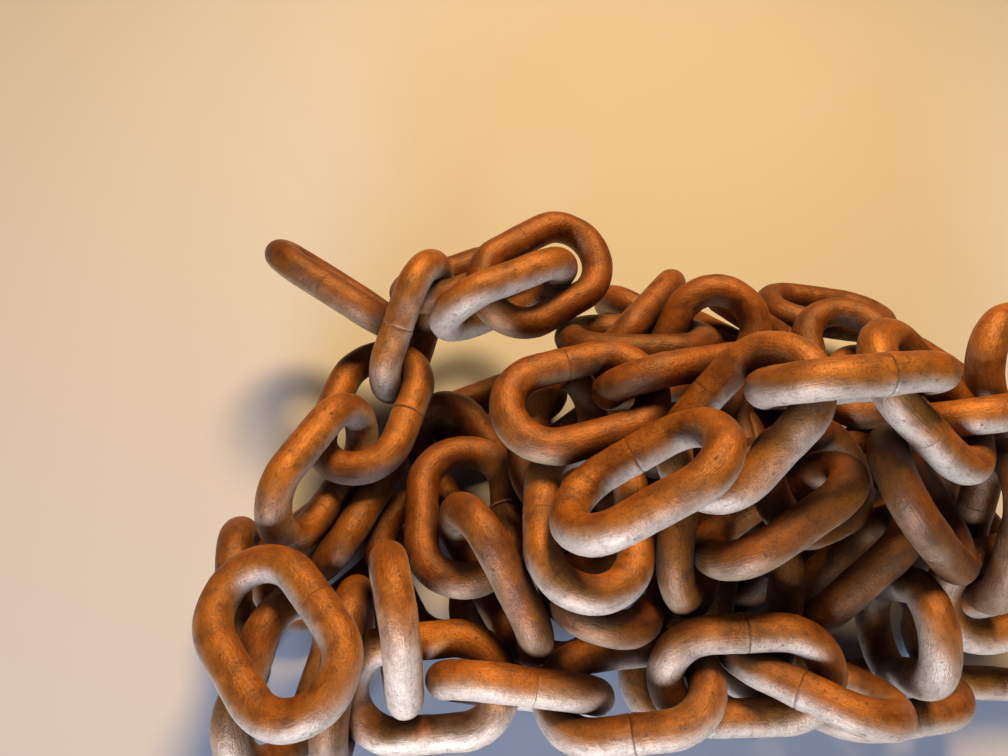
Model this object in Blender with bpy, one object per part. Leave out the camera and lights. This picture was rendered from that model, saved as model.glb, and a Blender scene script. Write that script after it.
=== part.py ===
"""A loose heap of rusty half-inch steel chain, as it lies after being tipped out.

Sizes are in metres and +Z is up. The heap stands on z = 0, its long way is X, and its front is -Y.
Each link is laid where its two end bends lie, then all of them are eased apart until no two touch
and each rests on what is under it. One core stands for the hidden links in the middle of the heap.
"""

import math

import bmesh
import bpy
import numpy as np
from mathutils import Matrix, Vector

MM = 0.001

# The link
WIRE = 13.0 * MM
INNER_LENGTH = 41.0 * MM
INNER_WIDTH = 19.0 * MM
WIRE_SIDES = 8
BEND_STEPS = 8

LINK_LENGTH = INNER_LENGTH + 2 * WIRE
BEND_RADIUS = (INNER_WIDTH + WIRE) / 2
LEG = INNER_LENGTH - INNER_WIDTH

# The core under the visible links: hidden links spread over a loaf, and a smaller loaf that joins them.
# The spread is the share of the loaf's height that they are on, down from its top, and the flatness is
# how much flatter they lie than the loaf's own outside.
CORE_LENGTH = 3.0 * LINK_LENGTH
CORE_DEPTH = 1.73 * LINK_LENGTH
CORE_HEIGHT = 0.82 * LINK_LENGTH
CORE_X = 0.67 * LINK_LENGTH
CORE_Y = 0.12 * LINK_LENGTH
HIDDEN_LINKS = 16
HIDDEN_SPREAD = 0.75
HIDDEN_FLATNESS = 3.2
LOAF_SHARE = 0.66
LOAF_SEGMENTS = 20
SINK_STEPS = 80
SHARP_ANGLE = math.radians(50)

# The space left between two links, and between a link and the floor or the core
CLEARANCE = 0.2 * MM

# How the links are eased apart
LINE_POINTS = 36
FINE_LINE_POINTS = 72
LOWERING_ROUNDS = 100
CLEARING_ROUNDS = 260
FINE_ROUNDS = 160
LOWERING_STEP = 0.1 * MM
HOLD_SHARE = 0.03
PUSH_SHARE = 0.5
DRAWING_ROUNDS = 20
DRAWING_SHARE = 0.7
LOOSE_GAP = 0.3 * MM
DECIMALS_KEPT = 10

# Each link: its two end bends, and how far it is rolled from lying flat, in degrees.
# The bends are in steps of which a link is 67 long, so a bigger chain makes a bigger heap.
STEPS_A_LINK = 67
TOP_RUN = (
    ((-41, -54, 60), (-32, -1, 62), 0),
    ((-43, -35, 74), (3, -24, 97), -45),
    ((-5, -21, 74), (27, 1, 109), -25),
    ((20, -8, 100), (73, -14, 98), -55),
    ((61, 4, 112), (99, -31, 92), -10),
    ((92, -11, 94), (145, -8, 88), -60),
    ((119, 16, 98), (146, -8, 58), 15),
)
LEFT_RUN = (
    ((-81, 66, 76), (-29, 80, 76), -60),
    ((-66, 76, 90), (-104, 48, 60), 65),
    ((-104, 61, 60), (-111, 9, 48), 10),
    ((-103, 26, 38), (-140, -13, 46), -65),
    ((-107, 4, 22), (-148, -26, 38), -15),
    ((-151, -32, 40), (-124, -77, 50), 20),
    ((-121, -34, 24), (-149, -79, 14), -50),
    ((-93, 22, 40), (-122, -24, 30), 75),
    ((-122, -30, 18), (-121, -84, 12), 80),
    ((-152, -8, 26), (-153, -60, 20), 88),
)
FRONT_ROW = (
    ((-99, -69, 14), (-109, -43, 60), 85),
    ((-115, -64, 20), (-64, -68, 26), 25),
    ((-88, -59, 29), (-36, -67, 25), -73),
    ((-53, -80, 28), (0, -78, 44), -25),
    ((-11, -75, 49), (43, -76, 51), 55),
    ((31, -62, 32), (68, -92, 54), -60),
    ((-10, -70, 7), (44, -72, 7), 0),
    ((34, -32, 40), (28, -76, 12), 75),
    ((75, -76, 62), (83, -72, 9), 40),
    ((52, -84, 12), (104, -80, 16), -60),
    ((105, -72, 10), (159, -74, 8), 0),
    ((101, -68, 46), (153, -62, 62), 40),
)
MIDDLE_RUN = (
    ((84, -50, 54), (68, -32, 102), 30),
    ((112, -54, 54), (108, -30, 98), 64),
    ((36, -58, 42), (82, -41, 64), -60),
    ((28, -34, 84), (74, -16, 63), 20),
    ((4, -45, 60), (52, -26, 74), -60),
    ((-1, -54, 45), (22, -6, 50), 58),
    ((-40, -58, 38), (-4, -28, 18), -20),
    ((-86, 38, 36), (-60, -2, 12), 60),
    ((-70, 18, 36), (-70, -36, 38), 0),
    ((-74, -20, 58), (-56, -62, 28), 65),
    ((-104, 0, 22), (-80, -42, 8), -30),
    ((-72, -34, 8), (-20, -42, 8), 0),
)
BACK_RUN = (
    ((-16, 92, 70), (-54, 55, 72), -30),
    ((-57, 5, 68), (-5, 15, 76), 0),
    ((-16, 10, 76), (34, 28, 68), -55),
    ((20, 20, 32), (33, 50, 74), 10),
    ((-8, 40, 62), (31, 80, 62), -60),
    ((6, 90, 58), (44, 62, 44), -50),
    ((26, 88, 46), (76, 76, 38), -35),
    ((60, 86, 44), (102, 64, 28), -50),
    ((83, 82, 38), (135, 74, 38), -25),
    ((100, 60, 53), (88, 10, 58), 5),
    ((-26, 52, 60), (24, 56, 56), -30),
    ((-76, 44, 30), (-26, 60, 34), -35),
    ((-134, 97, 58), (-90, 69, 50), -50),
    ((-90, 83, 59), (-38, 94, 57), -50),
    ((-40, -8, 46), (-22, 40, 46), 60),
)
END_RUN = (
    ((112, 40, 50), (146, 0, 36), 30),
    ((128, 66, 12), (150, 18, 10), 0),
    ((120, -8, 40), (150, -50, 24), -20),
)
RUNS = {
    "top": (TOP_RUN, (0.42, 0.24, 0.13)),
    "left": (LEFT_RUN, (0.40, 0.22, 0.11)),
    "front": (FRONT_ROW, (0.43, 0.27, 0.18)),
    "middle": (MIDDLE_RUN, (0.34, 0.18, 0.08)),
    "back": (BACK_RUN, (0.32, 0.17, 0.07)),
    "end": (END_RUN, (0.36, 0.20, 0.10)),
}
CORE_COLOUR = (0.10, 0.05, 0.025)
STEEL_ROUGHNESS = 0.55
STEEL_METALLIC = 0.6


def clear_scene():
    for thing in list(bpy.data.objects):
        bpy.data.objects.remove(thing)


def steel(name, colour):
    material = bpy.data.materials.new(name)
    material.use_nodes = True
    shader = material.node_tree.nodes["Principled BSDF"]
    shader.inputs["Base Color"].default_value = (*colour, 1)
    shader.inputs["Roughness"].default_value = STEEL_ROUGHNESS
    shader.inputs["Metallic"].default_value = STEEL_METALLIC
    return material


def centreline(count):
    """Points spaced evenly along the middle of a link's wire, with its long way along X."""
    bend = math.pi * BEND_RADIUS
    half = []
    for place in np.arange(count // 2) * (LEG + bend) / (count // 2):
        if place < LEG:
            half.append((place - LEG / 2, BEND_RADIUS, 0))
        else:
            angle = (place - LEG) / BEND_RADIUS
            half.append((LEG / 2 + BEND_RADIUS * math.sin(angle), BEND_RADIUS * math.cos(angle), 0))
    half = np.array(half)
    return np.concatenate([half, half * (-1, -1, 1)])


def pose_of(row):
    """The middle of a link and its turn, from its two end bends and its roll."""
    first, second, roll = row
    first = np.array(first) * LINK_LENGTH / STEPS_A_LINK
    second = np.array(second) * LINK_LENGTH / STEPS_A_LINK
    along = (second - first) / np.linalg.norm(second - first)
    level = np.cross((0, 0, 1), along)
    level /= np.linalg.norm(level)
    steep = np.cross(along, level)
    wide = math.cos(math.radians(roll)) * level + math.sin(math.radians(roll)) * steep
    return (first + second) / 2, np.column_stack([along, wide, np.cross(along, wide)])


def turned(turn, by):
    """The turn of a link after a small rotation vector, made square again."""
    along = turn[:, :, 0] + np.cross(by, turn[:, :, 0])
    wide = turn[:, :, 1] + np.cross(by, turn[:, :, 1])
    along /= np.linalg.norm(along, axis=1, keepdims=True)
    wide -= along * (along * wide).sum(axis=1, keepdims=True)
    wide /= np.linalg.norm(wide, axis=1, keepdims=True)
    return np.stack([along, wide, np.cross(along, wide)], axis=2)


class Heap:
    """All the links' places, and the moves that ease them apart. The hidden links come last and stay."""

    swing = (INNER_LENGTH / 2) ** 2

    def __init__(self, rows, hidden):
        poses = [pose_of(row) for row in rows]
        self.free = len(poses)
        poses += [(np.array(place.translation), np.array(place.to_3x3())) for place in hidden]
        self.middle = np.array([middle for middle, _ in poses])
        self.turn = np.array([turn for _, turn in poses])
        self.home = self.middle.copy()
        self.home_turn = self.turn.copy()
        self.use_line(LINE_POINTS)

    def use_line(self, count):
        self.line = centreline(count)

    def points(self):
        return self.middle[:, None, :] + np.einsum("nij,pj->npi", self.turn, self.line)

    def near_pairs(self):
        reach = INNER_LENGTH + 3 * WIRE
        apart = np.linalg.norm(self.middle[:, None] - self.middle[None], axis=2)
        first, second = np.nonzero(np.triu(apart < reach, 1))
        return first[first < self.free], second[first < self.free]

    def push(self, moves, links, at, way, by):
        """Moves each listed link so that its point `at` shifts along `way` by about `by`."""
        arm = np.cross(at - self.middle[links], way)
        share = by / (1 + (arm**2).sum(axis=1) / self.swing)
        np.add.at(moves[0], links, way * share[:, None])
        np.add.at(moves[1], links, arm * share[:, None] / self.swing)
        np.add.at(moves[2], links, 1)

    def nearest_points(self, points):
        """Each two links that are near each other, the points where they are nearest, and how far apart."""
        first, second = self.near_pairs()
        a, b = points[first], points[second]
        square = (a**2).sum(-1)[:, :, None] + (b**2).sum(-1)[:, None, :] - 2 * a @ b.transpose(0, 2, 1)
        nearest = square.reshape(len(first), -1).argmin(axis=1)
        pair = np.arange(len(first))
        a = a[pair, nearest // points.shape[1]]
        b = b[pair, nearest % points.shape[1]]
        return first, second, a, b, np.linalg.norm(a - b, axis=1)

    def part_links(self, moves, points):
        """Pushes each two links that are too near apart, at the points where they are nearest."""
        first, second, a, b, apart = self.nearest_points(points)
        lack = WIRE + CLEARANCE - apart
        close = lack > 0
        way = (a - b)[close] / np.maximum(apart[close, None], MM)
        self.push(moves, first[close], a[close], way, lack[close] / 2)
        self.push(moves, second[close], b[close], -way, lack[close] / 2)
        return lack.max()

    def lift_off_floor(self, moves, points):
        lowest = points[:, :, 2].argmin(axis=1)
        at = points[np.arange(len(points)), lowest]
        lack = WIRE / 2 + CLEARANCE - at[:, 2]
        low = np.nonzero(lack > 0)[0]
        up = np.tile((0.0, 0.0, 1.0), (len(low), 1))
        self.push(moves, low, at[low], up, lack[low])
        return lack.max()

    def lift_off_loaf(self, moves, points):
        reach = LOAF_SHARE * np.array([CORE_LENGTH / 2, CORE_DEPTH / 2, CORE_HEIGHT]) + WIRE / 2 + CLEARANCE
        scaled = (points - (CORE_X, CORE_Y, 0)) / reach
        size = np.linalg.norm(scaled, axis=2)
        deepest = size.argmin(axis=1)
        link = np.arange(len(points))
        at = points[link, deepest]
        slope = scaled[link, deepest] / reach
        steepness = np.linalg.norm(slope, axis=1)
        lack = (1 - size[link, deepest]) * size[link, deepest] / steepness
        inside = np.nonzero(lack > 0)[0]
        self.push(moves, inside, at[inside], slope[inside] / steepness[inside, None], lack[inside])
        return lack.max()

    def ease(self, rounds, lowering=0.0, hold=0.0):
        for _ in range(rounds):
            count = len(self.middle)
            moves = (np.zeros((count, 3)), np.zeros((count, 3)), np.zeros(count))
            points = self.points()
            lacks = (
                self.part_links(moves, points),
                self.lift_off_floor(moves, points[: self.free]),
                self.lift_off_loaf(moves, points[: self.free]),
            )
            if max(lacks) <= 0 and not lowering:
                return
            touching = np.maximum(1, moves[2] * PUSH_SHARE)[:, None]
            touching[self.free :] = np.inf
            self.middle += moves[0] / touching
            self.turn = turned(self.turn, moves[1] / touching)
            self.middle += (self.home - self.middle) * (hold, hold, 0)
            self.middle[: self.free, 2] -= lowering
            off = np.cross(self.turn, self.home_turn, axisa=1, axisb=1).sum(axis=1) / 2
            self.turn = turned(self.turn, off * hold)
            self.middle = self.middle.round(DECIMALS_KEPT)

    def draw_loose(self):
        """Draws each link that touches no other towards the nearest one, level with the floor."""
        for _ in range(DRAWING_ROUNDS):
            first, second, a, b, apart = self.nearest_points(self.points())
            link = np.concatenate([first, second])
            way = np.concatenate([b - a, a - b]) * (1, 1, 0)
            gap = np.concatenate([apart, apart]) - WIRE - CLEARANCE
            order = np.lexsort((gap, link))
            link, nearest = np.unique(link[order], return_index=True)
            way, gap = way[order][nearest], gap[order][nearest]
            loose = (gap > LOOSE_GAP) & (link < self.free)
            level = np.maximum(np.linalg.norm(way[loose], axis=1), MM)[:, None]
            self.middle[link[loose]] += way[loose] / level * gap[loose, None] * DRAWING_SHARE

    def settle(self):
        self.ease(CLEARING_ROUNDS, hold=HOLD_SHARE)
        self.ease(LOWERING_ROUNDS, lowering=LOWERING_STEP, hold=HOLD_SHARE)
        self.ease(CLEARING_ROUNDS)
        self.use_line(FINE_LINE_POINTS)
        self.ease(FINE_ROUNDS)
        self.draw_loose()
        self.ease(FINE_ROUNDS)

    def recentre(self):
        """Puts the middle of the heap's box over the origin and returns the shift."""
        points = self.points().reshape(-1, 3)
        shift = -(points.min(axis=0) + points.max(axis=0)) / 2
        shift[2] = 0
        self.middle += shift
        return Vector(shift)


def link_mesh():
    """One link: a ring of wire swept round two bends and along two legs."""
    shape = bmesh.new()
    ring = bmesh.ops.create_circle(
        shape,
        segments=WIRE_SIDES,
        radius=WIRE / 2,
        matrix=Matrix.Translation((LEG / 2, BEND_RADIUS, 0)) @ Matrix.Rotation(math.pi / 2, 4, "Y"),
    )
    edges = list({edge for vert in ring["verts"] for edge in vert.link_edges})
    for side in (1, -1):
        bend = bmesh.ops.spin(
            shape,
            geom=edges,
            cent=(side * LEG / 2, 0, 0),
            axis=(0, 0, -1),
            angle=math.pi,
            steps=BEND_STEPS,
        )
        edges = [item for item in bend["geom_last"] if isinstance(item, bmesh.types.BMEdge)]
        leg = bmesh.ops.extrude_edge_only(shape, edges=edges)
        verts = [item for item in leg["geom"] if isinstance(item, bmesh.types.BMVert)]
        edges = [item for item in leg["geom"] if isinstance(item, bmesh.types.BMEdge)]
        bmesh.ops.translate(shape, verts=verts, vec=(-side * LEG, 0, 0))
    bmesh.ops.remove_doubles(shape, verts=shape.verts, dist=WIRE / 1000)
    bmesh.ops.recalc_face_normals(shape, faces=shape.faces)
    mesh = bpy.data.meshes.new("chain_link")
    shape.to_mesh(mesh)
    shape.free()
    mesh.shade_smooth()
    return mesh


def hidden_places():
    """The places of the core's own links: spread evenly over the loaf's outside, each lying along it
    and sunk until it is inside."""
    reach = np.array([CORE_LENGTH / 2, CORE_DEPTH / 2, CORE_HEIGHT]) - WIRE / 2
    line = centreline(LINE_POINTS)
    golden = math.pi * (3 - math.sqrt(5))
    places = []
    for number in range(HIDDEN_LINKS):
        height = 1 - HIDDEN_SPREAD * (number + 0.5) / HIDDEN_LINKS
        level = math.sqrt(1 - height**2)
        spot = np.array([level * math.cos(number * golden), level * math.sin(number * golden), height])
        out = Vector(spot / reach * (1, 1, HIDDEN_FLATNESS)).normalized()
        turn = out.to_track_quat("Z", "Y").to_matrix() @ Matrix.Rotation(number * golden, 3, "Z")
        link = line @ np.array(turn).T
        for step in range(SINK_STEPS):
            middle = spot * reach * (1 - step / SINK_STEPS)
            middle[2] += max(0, WIRE / 2 - (middle[2] + link[:, 2].min()))
            if np.linalg.norm((link + middle) / reach, axis=1).max() <= 1:
                break
        places.append(Matrix.Translation(Vector(middle) + Vector((CORE_X, CORE_Y, 0))) @ turn.to_4x4())
    return places


def loaf_mesh():
    """The upper half of a long round loaf, flat on the floor."""
    shape = bmesh.new()
    bmesh.ops.create_uvsphere(
        shape, u_segments=LOAF_SEGMENTS, v_segments=LOAF_SEGMENTS // 2, radius=LOAF_SHARE
    )
    size = (CORE_LENGTH / 2, CORE_DEPTH / 2, CORE_HEIGHT)
    bmesh.ops.scale(shape, vec=size, verts=shape.verts)
    everything = shape.verts[:] + shape.edges[:] + shape.faces[:]
    cut = bmesh.ops.bisect_plane(
        shape, geom=everything, plane_co=(0, 0, 0), plane_no=(0, 0, -1), clear_outer=True
    )
    rim = [item for item in cut["geom_cut"] if isinstance(item, bmesh.types.BMEdge)]
    bmesh.ops.edgeloop_fill(shape, edges=rim)
    bmesh.ops.recalc_face_normals(shape, faces=shape.faces)
    mesh = bpy.data.meshes.new("loaf")
    shape.to_mesh(mesh)
    shape.free()
    return mesh


def drop_inner_skins(mesh):
    """Deletes the skins of the hollows closed inside a solid, and keeps its outer skin."""
    shape = bmesh.new()
    shape.from_mesh(mesh)
    outermost = max(shape.verts, key=lambda vert: vert.co.x)
    outer = {outermost}
    edge_of_search = [outermost]
    while edge_of_search:
        for edge in edge_of_search.pop().link_edges:
            for vert in edge.verts:
                if vert not in outer:
                    outer.add(vert)
                    edge_of_search.append(vert)
    inner = [vert for vert in shape.verts if vert not in outer]
    bmesh.ops.delete(shape, geom=inner, context="VERTS")
    shape.to_mesh(mesh)
    shape.free()


def core_mesh(wire, hidden):
    """The loaf and the hidden links as one closed solid."""
    links = bpy.data.collections.new("hidden_links")
    for number, place in enumerate(hidden, 1):
        link = bpy.data.objects.new(f"hidden_link_{number:02d}", wire)
        link.matrix_local = place
        links.objects.link(link)
    loaf = bpy.data.objects.new("loaf", loaf_mesh())
    loaf.location = (CORE_X, CORE_Y, 0)
    bpy.context.scene.collection.objects.link(loaf)
    union = loaf.modifiers.new("union", "BOOLEAN")
    union.operation = "UNION"
    union.solver = "EXACT"
    union.operand_type = "COLLECTION"
    union.collection = links
    seen = bpy.context.evaluated_depsgraph_get()
    mesh = bpy.data.meshes.new_from_object(loaf.evaluated_get(seen))
    mesh.name = "core"
    mesh.transform(Matrix.Translation((CORE_X, CORE_Y, 0)))
    for thing in [loaf, *links.objects]:
        bpy.data.objects.remove(thing)
    bpy.data.collections.remove(links)
    drop_inner_skins(mesh)
    mesh.shade_smooth()
    mesh.set_sharp_from_angle(angle=SHARP_ANGLE)
    return mesh


def add_object(name, mesh, material, parent=None):
    thing = bpy.data.objects.new(name, mesh)
    thing.parent = parent
    bpy.context.scene.collection.objects.link(thing)
    thing.material_slots[0].link = "OBJECT"
    thing.material_slots[0].material = material
    return thing


def build():
    clear_scene()
    hidden = hidden_places()
    heap = Heap([row for rows, _ in RUNS.values() for row in rows], hidden)
    heap.settle()
    shift = heap.recentre()

    wire = link_mesh()
    solid = core_mesh(wire, hidden)
    wire.materials.append(None)
    index = 0
    for run, (rows, colour) in RUNS.items():
        material = steel(f"rusty_steel_{run}", colour)
        holder = bpy.data.objects.new(f"{run}_run", None)
        bpy.context.scene.collection.objects.link(holder)
        for number in range(1, len(rows) + 1):
            link = add_object(f"{run}_link_{number:02d}", wire, material, holder)
            place = Matrix.Translation(heap.middle[index])
            link.matrix_local = place @ Matrix(heap.turn[index].tolist()).to_4x4()
            index += 1

    solid.materials.clear()
    solid.materials.append(None)
    core = add_object("core", solid, steel("dark_rusty_steel", CORE_COLOUR))
    core.location = shift


build()
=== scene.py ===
"""Looks of a heap of rusty half-inch steel chain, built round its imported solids.

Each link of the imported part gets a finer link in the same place: round wire with a butt weld in one
leg, forging dents, and a rusted skin whose pattern runs along the wire. The core gives way to the
hidden links that it holds, and to more links where its loaf is. Sizes are in metres and +Z is up.
"""

import math

import bmesh
import bpy
import numpy as np
from mathutils import Matrix, Vector, noise


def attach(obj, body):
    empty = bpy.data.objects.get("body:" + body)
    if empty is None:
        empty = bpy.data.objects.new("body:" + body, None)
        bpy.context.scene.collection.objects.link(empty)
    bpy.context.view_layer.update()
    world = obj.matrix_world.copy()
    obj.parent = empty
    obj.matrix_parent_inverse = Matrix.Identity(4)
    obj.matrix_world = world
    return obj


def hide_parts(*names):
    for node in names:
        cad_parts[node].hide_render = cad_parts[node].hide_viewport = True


bl_info = {
    "name": "Heap of Rusty Chain",
    "version": (1, 0, 0),
    "blender": (4, 5, 0),
    "location": "3D View > Sidebar > Chain",
    "description": "Dresses a packed heap of chain with round links, welds and rust",
    "category": "Object",
}

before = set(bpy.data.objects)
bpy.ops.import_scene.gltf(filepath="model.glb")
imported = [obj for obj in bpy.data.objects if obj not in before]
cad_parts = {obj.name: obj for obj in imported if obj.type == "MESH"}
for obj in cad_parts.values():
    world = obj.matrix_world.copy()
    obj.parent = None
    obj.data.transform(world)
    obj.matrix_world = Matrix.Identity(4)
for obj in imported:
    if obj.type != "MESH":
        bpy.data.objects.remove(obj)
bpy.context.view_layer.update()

MM = 0.001
RUNS = ("top", "left", "front", "middle", "back", "end")
CORE = "core"

# The camera, where the photograph was taken from: its place, how far it looks down, is swung to the
# right and leans, then its lens and sensor in millimetres, and the nearest thing that it sees
EYE = Vector((-0.0991, -0.1287, 0.310))
PITCH = math.radians(56)
SWING = math.radians(14)
LEAN = math.radians(8)
LENS = 27.04
SENSOR_WIDTH = 36.0
NEAREST_SEEN = 10 * MM

# The lights, the point that they aim at, the light of the room, and the floor
WARM_LIGHT = {"place": (0.10, 0.45, 0.90), "size": 0.35, "power": 22.0, "colour": (1.0, 0.60, 0.21)}
COOL_LIGHT = {"place": (-0.45, -1.15, 0.27), "size": 0.45, "power": 34.0, "colour": (0.78, 0.89, 1.0)}
LIGHTS_AIM = (0, 0, 0.05)
ROOM_COLOUR = (0.80, 0.88, 1.0)
ROOM_STRENGTH = 0.02
FLOOR_REACH = 4.0
FLOOR_ROUGHNESS = 0.9

# Links whose weld faces the camera in the photograph, and how strong a weld of the others can be
WELD_SHOWS = ("top_link_04", "front_link_05", "front_link_04", "left_link_03", "middle_link_09")
OTHER_WELDS = 0.55

# The share of a weld's swelling that goes all round the wire, the groove in it against the swelling
# and the seam, then the small dents against the large ones and how far they all go in
SWELLING_ALL_ROUND = 0.55
GROOVE_DEPTH = 1.1
GROOVE_WIDTH = 1.2
SMALL_DENT_SIZE = 0.3
SMALL_DENT_DEPTH = 0.35
DENT_SINK = 0.4

# Where a leg gets its edge loops, from its middle outwards, close together at the weld, the points
# along a link's middle line, and the share of the wire within which two corners are one
WELD_LOOPS = [place * MM for place in (0.2, 0.45, 0.8, 1.4, 2.2, 3.3, 4.8, 6.5, 8.6)]
LINE_POINTS = 72
SAME_CORNER = 0.0002

# The same for links inside the heap, which have fewer faces, and their numbers and weak welds
INNER_LOOPS = [2 * MM, 6 * MM]
INNER_LINE_POINTS = 36
INNER_SIDES = 18
INNER_BEND_STEPS = 16
INNER_SEED = 71
INNER_WELD = 0.3

# How far the filling goes past its stated size, the steps in which a link sinks into the heap, and
# the turn from one link to the next, which spreads them evenly
FILLING_MARGIN = 0.1
SINK_STEPS = 80
GOLDEN_ANGLE = math.pi * (3 - math.sqrt(5))

# The patterns in the rust, in cells to the metre, how lines are drawn out along the wire, where two
# of the patterns start, and the bumps
DRIFT = 34.0
PATCHES = 120.0
STAINS = 360.0
MOTTLE = 1100.0
LINES = 1900.0
GRIT = 3400.0
DRAWN_OUT = (0.07, 1.0, 1.0)
DRIFT_PLACE = (3.1, 7.7, 1.3)
STAINS_PLACE = (8.3, 2.9, 5.1)
BUMP_STRENGTH = 0.7
BUMP_DEPTH = 0.6 * MM

# Where settled rust and painted light fall from, how much more of them a face gets that is turned to it,
# and what a face side-on gets. Faces turned to it are browner and faces turned away paler, partly as rust
# settled on top and partly as painted light and shade
DUST_AND_LIGHT_FROM = Vector((0.05, 0.42, 0.90)).normalized()
DUST_AND_LIGHT_FACING = 0.75
DUST_AND_LIGHT_SIDE_ON = 0.35

# Links in front of this line are paler, partly rubbed and partly painted light from the front, fading in
# over this distance, by this share
LIT_AND_RUBBED_FROM = 0.04
LIT_AND_RUBBED_FADE = 0.05
LIT_AND_RUBBED_SHARE = 0.24

# How far these move on from one link to the next: the rust's pattern, the dents, the tone, how strong
# the weld is, the side to which it swells and the way round that the link lies
PATTERN_SHIFT = (0.173, 0.071, 0.11)
DENT_SHIFT = (3.7, 1.9, 5.3)
TONE_TURN = 12.9898
WELD_TURN = 7.13
FLASH_TURN = 2.4
FLIP_TURN = 7


# Places of the links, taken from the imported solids


def rows_of(items, field):
    """A vector field of a mesh's vertices or normals, one row for each."""
    rows = np.empty(len(items) * 3, np.float32)
    items.foreach_get(field, rows)
    return rows.reshape(-1, 3).astype(float)


def pose_of(name):
    """The middle of a packed link, and its turn: along its length, across its width, square to both."""
    points = rows_of(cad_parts[name].data.vertices, "co")
    points = np.unique(np.round(points, 6), axis=0)
    middle = points.mean(axis=0)
    _, axes = np.linalg.eigh(np.cov((points - middle).T))
    along, wide = axes[:, 2], axes[:, 1]
    if along[0] < 0:
        along = -along
    if wide[2] < 0:
        wide = -wide
    return middle, np.column_stack([along, wide, np.cross(along, wide)])


def node_names(run):
    return sorted(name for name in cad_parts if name.startswith(run + "_link_"))


POSES = {name: pose_of(name) for run in RUNS for name in node_names(run)}


# Settings that a user would change


class ChainSizes(bpy.types.PropertyGroup):
    wire: bpy.props.FloatProperty(
        name="Wire", description="Thickness of the wire", default=0.013, unit="LENGTH"
    )
    inner_length: bpy.props.FloatProperty(
        name="Inner length", description="Length of a link's eye", default=0.041, unit="LENGTH"
    )
    inner_width: bpy.props.FloatProperty(
        name="Inner width", description="Width of a link's eye", default=0.019, unit="LENGTH"
    )
    wire_sides: bpy.props.IntProperty(
        name="Wire sides", description="Faces round the wire of a link that shows", default=36
    )
    bend_steps: bpy.props.IntProperty(
        name="Bend steps", description="Faces along each bend of a link that shows", default=30
    )
    weld_rise: bpy.props.FloatProperty(
        name="Weld rise", description="How far the weld stands proud", default=0.0005, unit="LENGTH"
    )
    weld_width: bpy.props.FloatProperty(
        name="Weld width", description="Width of the swelling at the weld", default=0.0024, unit="LENGTH"
    )
    seam_width: bpy.props.FloatProperty(
        name="Seam width", description="Width of the line in the weld", default=0.00035, unit="LENGTH"
    )
    dent_depth: bpy.props.FloatProperty(
        name="Dent depth", description="Depth of the forging dents", default=0.00034, unit="LENGTH"
    )
    dent_size: bpy.props.FloatProperty(
        name="Dent size", description="Distance from one dent to the next", default=0.012, unit="LENGTH"
    )
    # How far the darkening beside a touching link reaches: partly dark rust, partly painted shade
    crevice_rust_and_shade: bpy.props.FloatProperty(
        name="Crevice",
        description="Width of the dark rust beside a touching link",
        default=0.0065,
        unit="LENGTH",
    )


class CoreSizes(bpy.types.PropertyGroup):
    middle: bpy.props.FloatVectorProperty(
        name="Middle",
        description="Middle of the core's underside",
        size=2,
        default=(0.04028, 0.00482),
        unit="LENGTH",
    )
    size: bpy.props.FloatVectorProperty(
        name="Size",
        description="Length, depth and height of the core",
        default=(0.201, 0.11591, 0.05494),
        unit="LENGTH",
    )
    links: bpy.props.IntProperty(name="Links", description="Links over the core", default=16)
    filling_links: bpy.props.IntProperty(
        name="Filling links", description="Links in place of the core's loaf", default=12
    )
    spread: bpy.props.FloatProperty(
        name="Spread",
        description="Share of the core's height that has links",
        default=0.75,
        subtype="FACTOR",
    )
    flatness: bpy.props.FloatProperty(
        name="Flatness", description="How much flatter the links lie than the core's side", default=3.2
    )
    filling: bpy.props.FloatProperty(
        name="Filling", description="Size of the filling against the core", default=0.66, subtype="FACTOR"
    )


class ChainColours(bpy.types.PropertyGroup):
    rust: bpy.props.FloatVectorProperty(
        name="Rust",
        description="Main colour of the rust",
        subtype="COLOR",
        size=3,
        default=(0.18, 0.058, 0.006),
    )
    bright_rust: bpy.props.FloatVectorProperty(
        name="Bright rust",
        description="Fresh orange rust",
        subtype="COLOR",
        size=3,
        default=(0.33, 0.112, 0.008),
    )
    dark_rust: bpy.props.FloatVectorProperty(
        name="Dark rust",
        description="Rust in patches and crevices",
        subtype="COLOR",
        size=3,
        default=(0.036, 0.0125, 0.0025),
    )
    pale_steel: bpy.props.FloatVectorProperty(
        name="Pale steel",
        description="Steel that is rubbed bare",
        subtype="COLOR",
        size=3,
        default=(0.50, 0.415, 0.37),
    )
    speck: bpy.props.FloatVectorProperty(
        name="Speck",
        description="Small dark pits",
        subtype="COLOR",
        size=3,
        default=(0.024, 0.009, 0.004),
    )
    floor: bpy.props.FloatVectorProperty(
        name="Floor",
        description="Colour of the floor",
        subtype="COLOR",
        size=3,
        default=(0.35, 0.38, 0.49),
    )


# Shader maths


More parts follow.
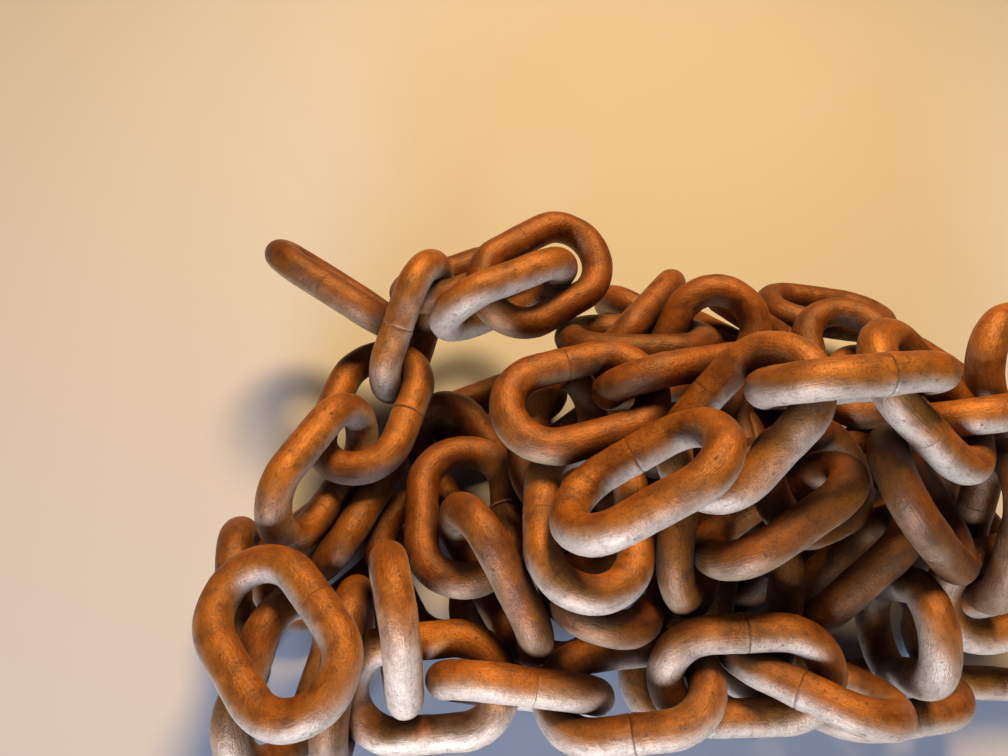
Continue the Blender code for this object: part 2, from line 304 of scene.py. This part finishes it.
class Value:
    """A number socket on which Python's operators add Math nodes."""

    def __init__(self, finish, socket):
        self.finish = finish
        self.socket = socket

    def made(self, operation, *others, clamp=False):
        node = self.finish.node("ShaderNodeMath", {"operation": operation, "use_clamp": clamp}, others)
        return Value(self.finish, node.outputs[0])

    def __add__(self, other):
        return self.made("ADD", self, other)

    def __radd__(self, other):
        return self.made("ADD", other, self)

    def __sub__(self, other):
        return self.made("SUBTRACT", self, other)

    def __rsub__(self, other):
        return self.made("SUBTRACT", other, self)

    def __mul__(self, other):
        return self.made("MULTIPLY", self, other)

    def __rmul__(self, other):
        return self.made("MULTIPLY", other, self)

    def clamped(self):
        return self.made("ADD", self, 0.0, clamp=True)

    def step(self, low, high):
        """0 below low, 1 above high, smooth between them; falls instead where low is above high."""
        node = self.finish.node(
            "ShaderNodeMapRange",
            {"interpolation_type": "SMOOTHSTEP"},
            {"Value": self, "From Min": min(low, high), "From Max": max(low, high)},
        )
        rise = Value(self.finish, node.outputs["Result"])
        return rise if low < high else 1 - rise


class Finish:
    """A node material under construction."""

    def __init__(self, name):
        self.material = bpy.data.materials.new(name)
        self.material.use_nodes = True
        self.tree = self.material.node_tree
        self.tree.nodes.clear()

    def plug(self, socket, value):
        if isinstance(value, Value):
            value = value.socket
        if isinstance(value, bpy.types.NodeSocket):
            self.tree.links.new(value, socket)
        elif socket.type == "RGBA":
            socket.default_value = (*value, 1.0)
        else:
            socket.default_value = value

    def node(self, kind, settings, inputs):
        """Adds a node: its settings first, then its sockets by name, or in order."""
        made = self.tree.nodes.new(kind)
        for key, value in settings.items():
            setattr(made, key, value)
        pairs = inputs.items() if isinstance(inputs, dict) else enumerate(inputs)
        for key, value in pairs:
            self.plug(made.inputs[key], value)
        return made

    def attribute(self, name, output):
        return self.node("ShaderNodeAttribute", {"attribute_name": name}, {}).outputs[output]

    def number(self, name):
        return Value(self, self.attribute(name, "Fac"))

    def scaled(self, vector, by):
        return self.node("ShaderNodeVectorMath", {"operation": "MULTIPLY"}, (vector, by)).outputs[0]

    def shifted(self, vector, by):
        return self.node("ShaderNodeVectorMath", {"operation": "ADD"}, (vector, by)).outputs[0]

    def noise(self, vector, scale, detail, roughness=0.55):
        node = self.node(
            "ShaderNodeTexNoise",
            {"noise_dimensions": "3D"},
            {"Vector": vector, "Scale": scale, "Detail": detail, "Roughness": roughness},
        )
        return Value(self, node.outputs["Fac"])

    def mix(self, share, first, second, blend="MIX"):
        node = self.node(
            "ShaderNodeMix",
            {"data_type": "RGBA", "blend_type": blend, "clamp_factor": True},
            {0: share, 6: first, 7: second},
        )
        return node.outputs[2]

    def surface(self, inputs):
        shader = self.node("ShaderNodeBsdfPrincipled", {}, inputs)
        out = self.tree.nodes.new("ShaderNodeOutputMaterial")
        self.tree.links.new(shader.outputs[0], out.inputs[0])
        return self.material


def rusted_steel(name, tint_with_painted_light_and_shade, wear_and_painted_light, crevice_shade_strength):
    """Steel with a rusted skin, browner above and paler below and in front, partly as settled rust and
    rubbing and partly as painted light.

    The tint multiplies the colours, lightening or darkening a run as painted light and shade; the wear is
    the share rubbed pale, raised where painted light falls and lowered where painted shade does; the
    darkness deepens the crevices, with dark rust and painted shade.
    """
    colours = bpy.context.scene.chain_colours
    f = Finish(name)
    wire = f.attribute("wire", "Vector")
    crevice_rust_and_shade = f.number("crevice_rust_and_shade")
    seam = f.number("seam")
    dust_and_painted_light = f.number("dust_and_painted_light")
    tone = f.number("tone")

    drift = f.noise(f.shifted(wire, DRIFT_PLACE), DRIFT, detail=2.0)
    patches = f.noise(wire, PATCHES, detail=4.0, roughness=0.6)
    stains = f.noise(f.shifted(wire, STAINS_PLACE), STAINS, detail=4.0, roughness=0.62)
    mottle = f.noise(wire, MOTTLE, detail=3.0, roughness=0.75)
    lines = f.noise(f.scaled(wire, DRAWN_OUT), LINES, detail=2.0, roughness=0.6)
    grit = f.noise(wire, GRIT, detail=2.0, roughness=0.6)
    pits = stains.step(0.60, 0.72) * mottle.step(0.50, 0.62)

    # The pale share: random wear, less on faces turned up and back and in crevices; partly rubbed steel,
    # partly painted light on the undersides and the front
    rubbed_and_lit_pale = drift * 0.75 + patches * 0.25 + mottle * 0.40 + tone * 0.08 - dust_and_painted_light * 0.80 - crevice_rust_and_shade * 0.4
    rubbed_and_lit_pale = (rubbed_and_lit_pale + wear_and_painted_light).step(0.26, 0.84)
    bright_rust = tuple(colours.bright_rust)
    dark_rust = tuple(colours.dark_rust)
    speck = tuple(colours.speck)
    # Each layer lies over those before it: how much of it there is, and its colour
    skin = tuple(colours.rust)
    for share, colour in (
        (patches.step(0.34, 0.66) * 0.9, bright_rust),
        # Pale steel: partly rubbed bare, partly painted light
        (rubbed_and_lit_pale * 0.9, tuple(colours.pale_steel)),
        (patches.step(0.48, 0.26) * 0.28, dark_rust),
        (stains.step(0.46, 0.78) * 0.42, dark_rust),
        (lines.step(0.50, 0.74) * 0.25, dark_rust),
        (mottle.step(0.46, 0.72) * 0.50, dark_rust),
        (mottle.step(0.46, 0.28) * 0.35, bright_rust),
        (pits * 0.60, speck),
        (seam * stains.step(0.32, 0.48) * 0.75, speck),
        # Dark rust and painted shade where a link touches another or lies near the floor
        (crevice_rust_and_shade * crevice_shade_strength, dark_rust),
    ):
        skin = f.mix(share, skin, colour)
    # Each link is a little lighter or darker than the next
    shade = 0.92 + tone * 0.18
    grey = f.node("ShaderNodeCombineColor", {}, (shade, shade, shade)).outputs[0]
    skin = f.mix(1.0, skin, grey, "MULTIPLY")
    # The run's tint: painted light on the top run, painted shade on the runs deep in the heap
    skin = f.mix(1.0, skin, tint_with_painted_light_and_shade, "MULTIPLY")

    rough = 0.40 - rubbed_and_lit_pale * 0.05 + mottle * 0.18 + crevice_rust_and_shade * 0.3
    metal = 0.27 - rubbed_and_lit_pale * 0.05
    height = mottle * 0.50 + stains * 0.45 + grit * 0.25 + lines * 0.30 + patches * 0.5 - pits * 0.4
    relief = {"Strength": BUMP_STRENGTH, "Distance": BUMP_DEPTH, "Height": height}
    bump = f.node("ShaderNodeBump", {}, relief)
    return f.surface(
        {
            "Base Color": skin,
            "Roughness": rough.clamped(),
            "Metallic": metal.clamped(),
            "Specular IOR Level": 0.5,
            "Normal": bump.outputs[0],
        }
    )


# Link shapes


def bend_radius():
    sizes = bpy.context.scene.chain_sizes
    return (sizes.inner_width + sizes.wire) / 2


def leg_length():
    sizes = bpy.context.scene.chain_sizes
    return sizes.inner_length - sizes.inner_width


def wire_length():
    return 2 * leg_length() + 2 * math.pi * bend_radius()


def of_kind(items, kind):
    return [item for item in items if isinstance(item, kind)]


def wire_ring(sides, bend_steps, cuts):
    """A closed ring of round wire lying flat, its length along X. cuts are the places, along a leg
    from its middle outwards, where it gets an edge loop."""
    sizes = bpy.context.scene.chain_sizes
    radius, half = bend_radius(), leg_length() / 2
    shape = bmesh.new()
    start = Matrix.Translation((half, radius, 0)) @ Matrix.Rotation(math.pi / 2, 4, "Y")
    ring = bmesh.ops.create_circle(shape, segments=sides, radius=sizes.wire / 2, matrix=start)
    edges = list({edge for vert in ring["verts"] for edge in vert.link_edges})
    places = sorted({side * cut for cut in cuts for side in (1, -1)} | {half, -half})
    for side in (1, -1):
        bend = bmesh.ops.spin(
            shape,
            geom=edges,
            cent=(side * half, 0, 0),
            axis=(0, 0, -1),
            angle=math.pi,
            steps=bend_steps,
        )
        edges = of_kind(bend["geom_last"], bmesh.types.BMEdge)
        for near, far in zip(places, places[1:]):
            leg = bmesh.ops.extrude_edge_only(shape, edges=edges)
            edges = of_kind(leg["geom"], bmesh.types.BMEdge)
            corners = of_kind(leg["geom"], bmesh.types.BMVert)
            bmesh.ops.translate(shape, verts=corners, vec=(side * (near - far), 0, 0))
    bmesh.ops.remove_doubles(shape, verts=shape.verts, dist=sizes.wire * SAME_CORNER)
    bmesh.ops.recalc_face_normals(shape, faces=shape.faces)
    mesh = bpy.data.meshes.new("wire_ring")
    shape.to_mesh(mesh)
    shape.free()
    return mesh


class Ring:
    """A flat ring of wire, and where each of its corners lies on the wire: along it from the weld,
    sideways away from the ring's middle, and up."""

    def __init__(self, sides, bend_steps, cuts):
        self.mesh = wire_ring(sides, bend_steps, cuts)
        radius, half = bend_radius(), leg_length() / 2
        points = rows_of(self.mesh.vertices, "co")
        centre = points * (1, 0, 0)
        centre[:, 0] = np.clip(points[:, 0], -half, half)
        spoke = (points - centre) * (1, 1, 0)
        spoke /= np.linalg.norm(spoke, axis=1)[:, None]
        self.middle = centre + spoke * radius
        self.out = points - self.middle
        bend = half + np.arctan2(np.abs(spoke[:, 0]), spoke[:, 1]) * radius
        leg = np.where(spoke[:, 1] > 0, points[:, 0], 2 * half + math.pi * radius - points[:, 0])
        along = np.where(points[:, 0] > half, bend, leg)
        along = np.where(points[:, 0] < -half, wire_length() - bend, along)
        self.along = np.mod(along, wire_length())
        self.sideways = (self.out * spoke).sum(axis=1)
        self.up = self.out[:, 2]
        self.from_weld = np.minimum(self.along, wire_length() - self.along)


def write(mesh, name, values, kind="FLOAT"):
    field = "vector" if kind == "FLOAT_VECTOR" else "value"
    data = mesh.attributes.new(name, kind, "POINT").data
    data.foreach_set(field, np.asarray(values, np.float32).ravel())


def rough_noise(points, size, shift):
    return np.array([noise.noise(Vector(point) / size + shift) for point in points])


def centreline(count):
    """Points along the middle of a flat link's wire."""
    radius, half = bend_radius(), leg_length() / 2
    points = []
    for place in np.arange(count // 2) * wire_length() / count:
        if place < 2 * half:
            points.append((place - half, radius, 0))
        else:
            angle = (place - 2 * half) / radius
            points.append((half + radius * math.sin(angle), radius * math.cos(angle), 0))
    points = np.array(points)
    return np.concatenate([points, points * (-1, -1, 1)])


def link_lines():
    """The middle lines of all the links that show, in place."""
    line = centreline(LINE_POINTS)
    return {name: middle + line @ turn.T for name, (middle, turn) in POSES.items()}


def mark_skin(mesh, ring, seed, weld, lines, own=""):
    """Marks each corner of a placed link for its material: where it is on the unrolled wire, how near the
    seam of the weld, the link's own tone, how far it faces up and back and lies behind the front, which
    keeps it browner there and paler elsewhere as settled rust and rubbing and as painted light, and how
    near it is to another link or the floor, which darkens it as dark rust and painted shade."""
    sizes = bpy.context.scene.chain_sizes
    points = rows_of(mesh.vertices, "co")
    unrolled = np.column_stack([ring.along, ring.sideways, ring.up])
    write(mesh, "wire", unrolled + seed * np.array(PATTERN_SHIFT), "FLOAT_VECTOR")
    write(mesh, "seam", weld * np.exp(-((ring.from_weld / sizes.seam_width) ** 2)))
    write(mesh, "tone", np.full(len(points), math.sin(seed * TONE_TURN)))
    # Faces turned up and back are browner and faces turned down and to the front paler: partly settled
    # rust and rubbing, partly painted light
    dust_and_painted_light = rows_of(mesh.vertex_normals, "vector") @ np.array(DUST_AND_LIGHT_FROM) * DUST_AND_LIGHT_FACING + DUST_AND_LIGHT_SIDE_ON
    # Links at the front paler still: partly rubbed, partly painted light
    dust_and_painted_light -= np.clip((-points[:, 1] - LIT_AND_RUBBED_FROM) / LIT_AND_RUBBED_FADE, 0, 1) * LIT_AND_RUBBED_SHARE
    write(mesh, "dust_and_painted_light", np.clip(dust_and_painted_light, 0, 1))
    # The floor counts as a neighbour, so a link darkens towards it: painted shade under the link as well
    # as dark rust
    nearest = points[:, 2].copy()
    # Links whose middles are farther apart than this can't come near each other
    reach = sizes.inner_length + 4 * sizes.wire
    for other, line in lines.items():
        if other != own and np.linalg.norm(line.mean(axis=0) - points.mean(axis=0)) < reach:
            apart = np.linalg.norm(points[:, None] - line[None], axis=2).min(axis=1) - sizes.wire / 2
            nearest = np.minimum(nearest, apart)
    # Darker the nearer another link or the floor: partly dark rust, partly painted shade
    share = np.clip(1 - nearest / sizes.crevice_rust_and_shade, 0, 1)
    write(mesh, "crevice_rust_and_shade", share * share * (3 - 2 * share))


def placed(pose):
    middle, turn = pose
    return Matrix.Translation(Vector(middle)) @ Matrix(np.asarray(turn).tolist()).to_4x4()


def add_piece(name, mesh, material, node):
    """A finished piece in the heap's own frame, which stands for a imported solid."""
    mesh.materials.append(material)
    mesh.shade_smooth()
    piece = bpy.data.objects.new(name, mesh)
    bpy.context.scene.collection.objects.link(piece)
    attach(piece, "root")
    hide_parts(node)


def build_link(name, seed, ring, material, lines):
    """One link that shows: dented wire with a swelling and a groove at the weld."""
    sizes = bpy.context.scene.chain_sizes
    middle, turn = POSES[name]
    # The four ways round in which a link fits its place
    flips = [np.array(flip) for flip in ((1, 1, 1), (-1, -1, 1), (1, -1, -1), (-1, 1, -1))]
    if name in WELD_SHOWS:
        weld = 1.0
        leg = np.array((0, bend_radius(), 0))
        flip = min(flips, key=lambda flip: np.linalg.norm(middle + (turn * flip) @ leg - np.array(EYE)))
    else:
        weld = OTHER_WELDS * max(0.0, math.sin(seed * WELD_TURN))
        flip = flips[seed * FLIP_TURN % len(flips)]
    shift = Vector([seed * share for share in DENT_SHIFT])
    face = np.arctan2(ring.up, ring.sideways)
    one_sided = (1 - SWELLING_ALL_ROUND) * np.cos(face - seed * FLASH_TURN)
    flash = weld * (SWELLING_ALL_ROUND + one_sided) * sizes.weld_rise
    flat = ring.middle + ring.out
    rise = flash * np.exp(-((ring.from_weld / sizes.weld_width) ** 2))
    rise -= flash * GROOVE_DEPTH * np.exp(-((ring.from_weld / (sizes.seam_width * GROOVE_WIDTH)) ** 2))
    rise += rough_noise(flat, sizes.dent_size, shift) * sizes.dent_depth
    small_dents = rough_noise(flat, sizes.dent_size * SMALL_DENT_SIZE, -shift)
    rise += small_dents * sizes.dent_depth * SMALL_DENT_DEPTH
    rise -= sizes.dent_depth * DENT_SINK
    points = ring.middle + ring.out * (1 + rise / (sizes.wire / 2))[:, None]
    mesh = ring.mesh.copy()
    mesh.name = f"steel_{name}"
    mesh.vertices.foreach_set("co", points.astype(np.float32).ravel())
    mesh.transform(placed((middle, turn * flip)))
    mesh.update()
    mark_skin(mesh, ring, seed, weld, lines, own=name)
    add_piece(f"steel_{name}", mesh, material, name)


class LinkRun:
    """What the operators of all six runs share. Each has its run's name, its tint, which lightens or
    darkens the run as painted light and shade, and its wear, which is partly painted light.
    """

    # How strongly the crevices darken, as dark rust and painted shade
    crevice_shade_strength = 0.85

    def execute(self, context):
        sizes = context.scene.chain_sizes
        slot = f"rusty_steel_{self.run}"
        material = rusted_steel(slot + "_skin", self.tint_with_painted_light_and_shade, self.wear_and_painted_light, self.crevice_shade_strength)
        ring = Ring(sizes.wire_sides, sizes.bend_steps, WELD_LOOPS)
        lines = link_lines()
        order = sorted(POSES)
        for name in node_names(self.run):
            build_link(name, order.index(name) + 1, ring, material, lines)
        return {"FINISHED"}


class CHAIN_OT_top_run(LinkRun, bpy.types.Operator):
    """Build the links of the run on top of the heap"""

    bl_idname = "chain.top_run"
    bl_label = "Top run"
    run = "top"
    # Lighter and worn paler than the other runs: painted light on the top of the heap
    tint_with_painted_light_and_shade = (1.15, 1.12, 1.08)
    wear_and_painted_light = 0.26


class CHAIN_OT_left_run(LinkRun, bpy.types.Operator):
    """Build the links of the run down the left"""

    bl_idname = "chain.left_run"
    bl_label = "Left run"
    run = "left"
    tint_with_painted_light_and_shade = (0.84, 0.82, 0.80)
    wear_and_painted_light = 0.14


class CHAIN_OT_front_row(LinkRun, bpy.types.Operator):
    """Build the links of the row along the front"""

    bl_idname = "chain.front_row"
    bl_label = "Front row"
    run = "front"
    # Worn paler: partly painted light on the front
    tint_with_painted_light_and_shade = (1.02, 0.98, 0.94)
    wear_and_painted_light = 0.20


class CHAIN_OT_middle_run(LinkRun, bpy.types.Operator):
    """Build the links in the middle of the heap"""

    bl_idname = "chain.middle_run"
    bl_label = "Middle run"
    run = "middle"
    # Darker and worn less: painted shade in the middle of the heap
    tint_with_painted_light_and_shade = (0.62, 0.54, 0.43)
    wear_and_painted_light = -0.06


class CHAIN_OT_back_run(LinkRun, bpy.types.Operator):
    """Build the links along the back"""

    bl_idname = "chain.back_run"
    bl_label = "Back run"
    run = "back"
    # Darker and worn less: painted shade along the back
    tint_with_painted_light_and_shade = (0.68, 0.58, 0.42)
    wear_and_painted_light = -0.06


class CHAIN_OT_end_run(LinkRun, bpy.types.Operator):
    """Build the links at the right end"""

    bl_idname = "chain.end_run"
    bl_label = "End run"
    run = "end"
    tint_with_painted_light_and_shade = (0.84, 0.78, 0.70)
    wear_and_painted_light = 0.05


# Links inside the heap


def hidden_places(count, share, first):
    """Places of links spread evenly over a loaf, each lying along it and sunk until it is inside.

    share is the loaf's size against the core's, and first is the number of its first link.
    """
    sizes, core = bpy.context.scene.chain_sizes, bpy.context.scene.core_sizes
    wire = sizes.wire
    length, depth, height = core.size
    reach = np.array([length / 2, depth / 2, height]) * share - wire / 2
    line = centreline(INNER_LINE_POINTS)
    places = []
    for number in range(first, first + count):
        level = 1 - core.spread * (number - first + 0.5) / count
        angle = number * GOLDEN_ANGLE
        radius = math.sqrt(1 - level**2)
        spot = np.array([radius * math.cos(angle), radius * math.sin(angle), level])
        out = Vector(spot / reach * (1, 1, core.flatness)).normalized()
        turn = out.to_track_quat("Z", "Y").to_matrix() @ Matrix.Rotation(angle, 3, "Z")
        link = line @ np.array(turn).T
        for step in range(SINK_STEPS):
            middle = spot * reach * (1 - step / SINK_STEPS)
            middle[2] += max(0, wire / 2 - (middle[2] + link[:, 2].min()))
            if np.linalg.norm((link + middle) / reach, axis=1).max() <= 1:
                break
        places.append((middle + (*core.middle, 0), turn))
    return places


class CHAIN_OT_inner_links(bpy.types.Operator):
    """Build the links inside the heap, in place of the core"""

    bl_idname = "chain.inner_links"
    bl_label = "Inner links"
    # Much darker and worn less: painted shade inside the heap
    tint_with_painted_light_and_shade = (0.34, 0.28, 0.20)
    wear_and_painted_light = -0.08
    # Stronger crevices than outside: more painted shade inside the heap
    crevice_shade_strength = 0.95

    def execute(self, context):
        core = context.scene.core_sizes
        lines = link_lines()
        # The inner links' material, darkened as painted shade
        material = rusted_steel("rusty_steel_in_painted_shade_skin", self.tint_with_painted_light_and_shade, self.wear_and_painted_light, self.crevice_shade_strength)
        places = hidden_places(core.links, 1.0, 0)
        places += hidden_places(core.filling_links, core.filling + FILLING_MARGIN, core.links)
        ring = Ring(INNER_SIDES, INNER_BEND_STEPS, INNER_LOOPS)
        whole = bmesh.new()
        for number, place in enumerate(places):
            mesh = ring.mesh.copy()
            mesh.transform(placed(place))
            mesh.update()
            mark_skin(mesh, ring, number + INNER_SEED, INNER_WELD, lines)
            whole.from_mesh(mesh)
            bpy.data.meshes.remove(mesh)
        joined = bpy.data.meshes.new("inner_links")
        whole.to_mesh(joined)
        whole.free()
        add_piece("inner_links", joined, material, CORE)
        return {"FINISHED"}


# Floor, light and camera


def studio_light(name, place, size, power, colour):
    lamp = bpy.data.lights.new(name, "AREA")
    lamp.shape = "DISK"
    lamp.size = size
    lamp.energy = power
    lamp.color = colour
    holder = bpy.data.objects.new(name, lamp)
    holder.location = place
    holder.rotation_euler = (Vector(LIGHTS_AIM) - Vector(place)).to_track_quat("-Z", "Y").to_euler()
    bpy.context.scene.collection.objects.link(holder)


def photo_camera():
    side = Vector((math.cos(SWING), -math.sin(SWING), 0))
    ahead = Vector((math.sin(SWING), math.cos(SWING), 0))
    forward = math.cos(PITCH) * ahead - math.sin(PITCH) * Vector((0, 0, 1))
    upward = math.sin(PITCH) * ahead + math.cos(PITCH) * Vector((0, 0, 1))
    right = math.cos(LEAN) * side + math.sin(LEAN) * upward
    up = math.cos(LEAN) * upward - math.sin(LEAN) * side
    lens = bpy.data.cameras.new("camera")
    lens.sensor_width = SENSOR_WIDTH
    lens.lens = LENS
    lens.clip_start = NEAREST_SEEN
    camera = bpy.data.objects.new("camera", lens)
    camera.matrix_world = Matrix.Translation(EYE) @ Matrix((right, up, -forward)).transposed().to_4x4()
    bpy.context.scene.collection.objects.link(camera)
    return camera


class CHAIN_OT_stage(bpy.types.Operator):
    """Build the pale floor, the soft lights and the camera"""

    bl_idname = "chain.stage"
    bl_label = "Stage"

    def execute(self, context):
        scene = context.scene
        shape = bmesh.new()
        bmesh.ops.create_grid(shape, x_segments=1, y_segments=1, size=FLOOR_REACH)
        mesh = bpy.data.meshes.new("floor")
        shape.to_mesh(mesh)
        shape.free()
        floor = bpy.data.objects.new("floor", mesh)
        scene.collection.objects.link(floor)
        paint = {"Base Color": tuple(scene.chain_colours.floor), "Roughness": FLOOR_ROUGHNESS}
        mesh.materials.append(Finish("plain_floor").surface(paint))

        world = bpy.data.worlds.new("studio")
        world.use_nodes = True
        room = world.node_tree.nodes["Background"]
        room.inputs["Color"].default_value = (*ROOM_COLOUR, 1.0)
        room.inputs["Strength"].default_value = ROOM_STRENGTH
        scene.world = world
        studio_light("warm_light_above", **WARM_LIGHT)
        studio_light("cool_light_in_front", **COOL_LIGHT)
        scene.camera = photo_camera()
        scene.view_settings.view_transform = "Standard"
        return {"FINISHED"}


class CHAIN_PT_panel(bpy.types.Panel):
    """Lists the heap's settings and parts"""

    bl_label = "Heap of chain"
    bl_idname = "CHAIN_PT_panel"
    bl_space_type = "VIEW_3D"
    bl_region_type = "UI"
    bl_category = "Chain"

    def draw(self, context):
        scene = context.scene
        for group in (scene.chain_sizes, scene.core_sizes, scene.chain_colours):
            box = self.layout.box()
            for key in group.__annotations__:
                box.prop(group, key)
        for operator in OPERATORS:
            self.layout.operator(operator.bl_idname)


OPERATORS = (
    CHAIN_OT_top_run,
    CHAIN_OT_left_run,
    CHAIN_OT_front_row,
    CHAIN_OT_middle_run,
    CHAIN_OT_back_run,
    CHAIN_OT_end_run,
    CHAIN_OT_inner_links,
    CHAIN_OT_stage,
)
GROUPS = {"chain_sizes": ChainSizes, "core_sizes": CoreSizes, "chain_colours": ChainColours}
CLASSES = (*GROUPS.values(), *OPERATORS, CHAIN_PT_panel)


def register():
    for item in CLASSES:
        bpy.utils.register_class(item)
    for name, group in GROUPS.items():
        setattr(bpy.types.Scene, name, bpy.props.PointerProperty(type=group))


def unregister():
    for name in GROUPS:
        delattr(bpy.types.Scene, name)
    for item in reversed(CLASSES):
        bpy.utils.unregister_class(item)


def main():
    register()
    bpy.ops.chain.top_run()
    bpy.ops.chain.left_run()
    bpy.ops.chain.front_row()
    bpy.ops.chain.middle_run()
    bpy.ops.chain.back_run()
    bpy.ops.chain.end_run()
    bpy.ops.chain.inner_links()
    bpy.ops.chain.stage()


if __name__ == "__main__":
    main()
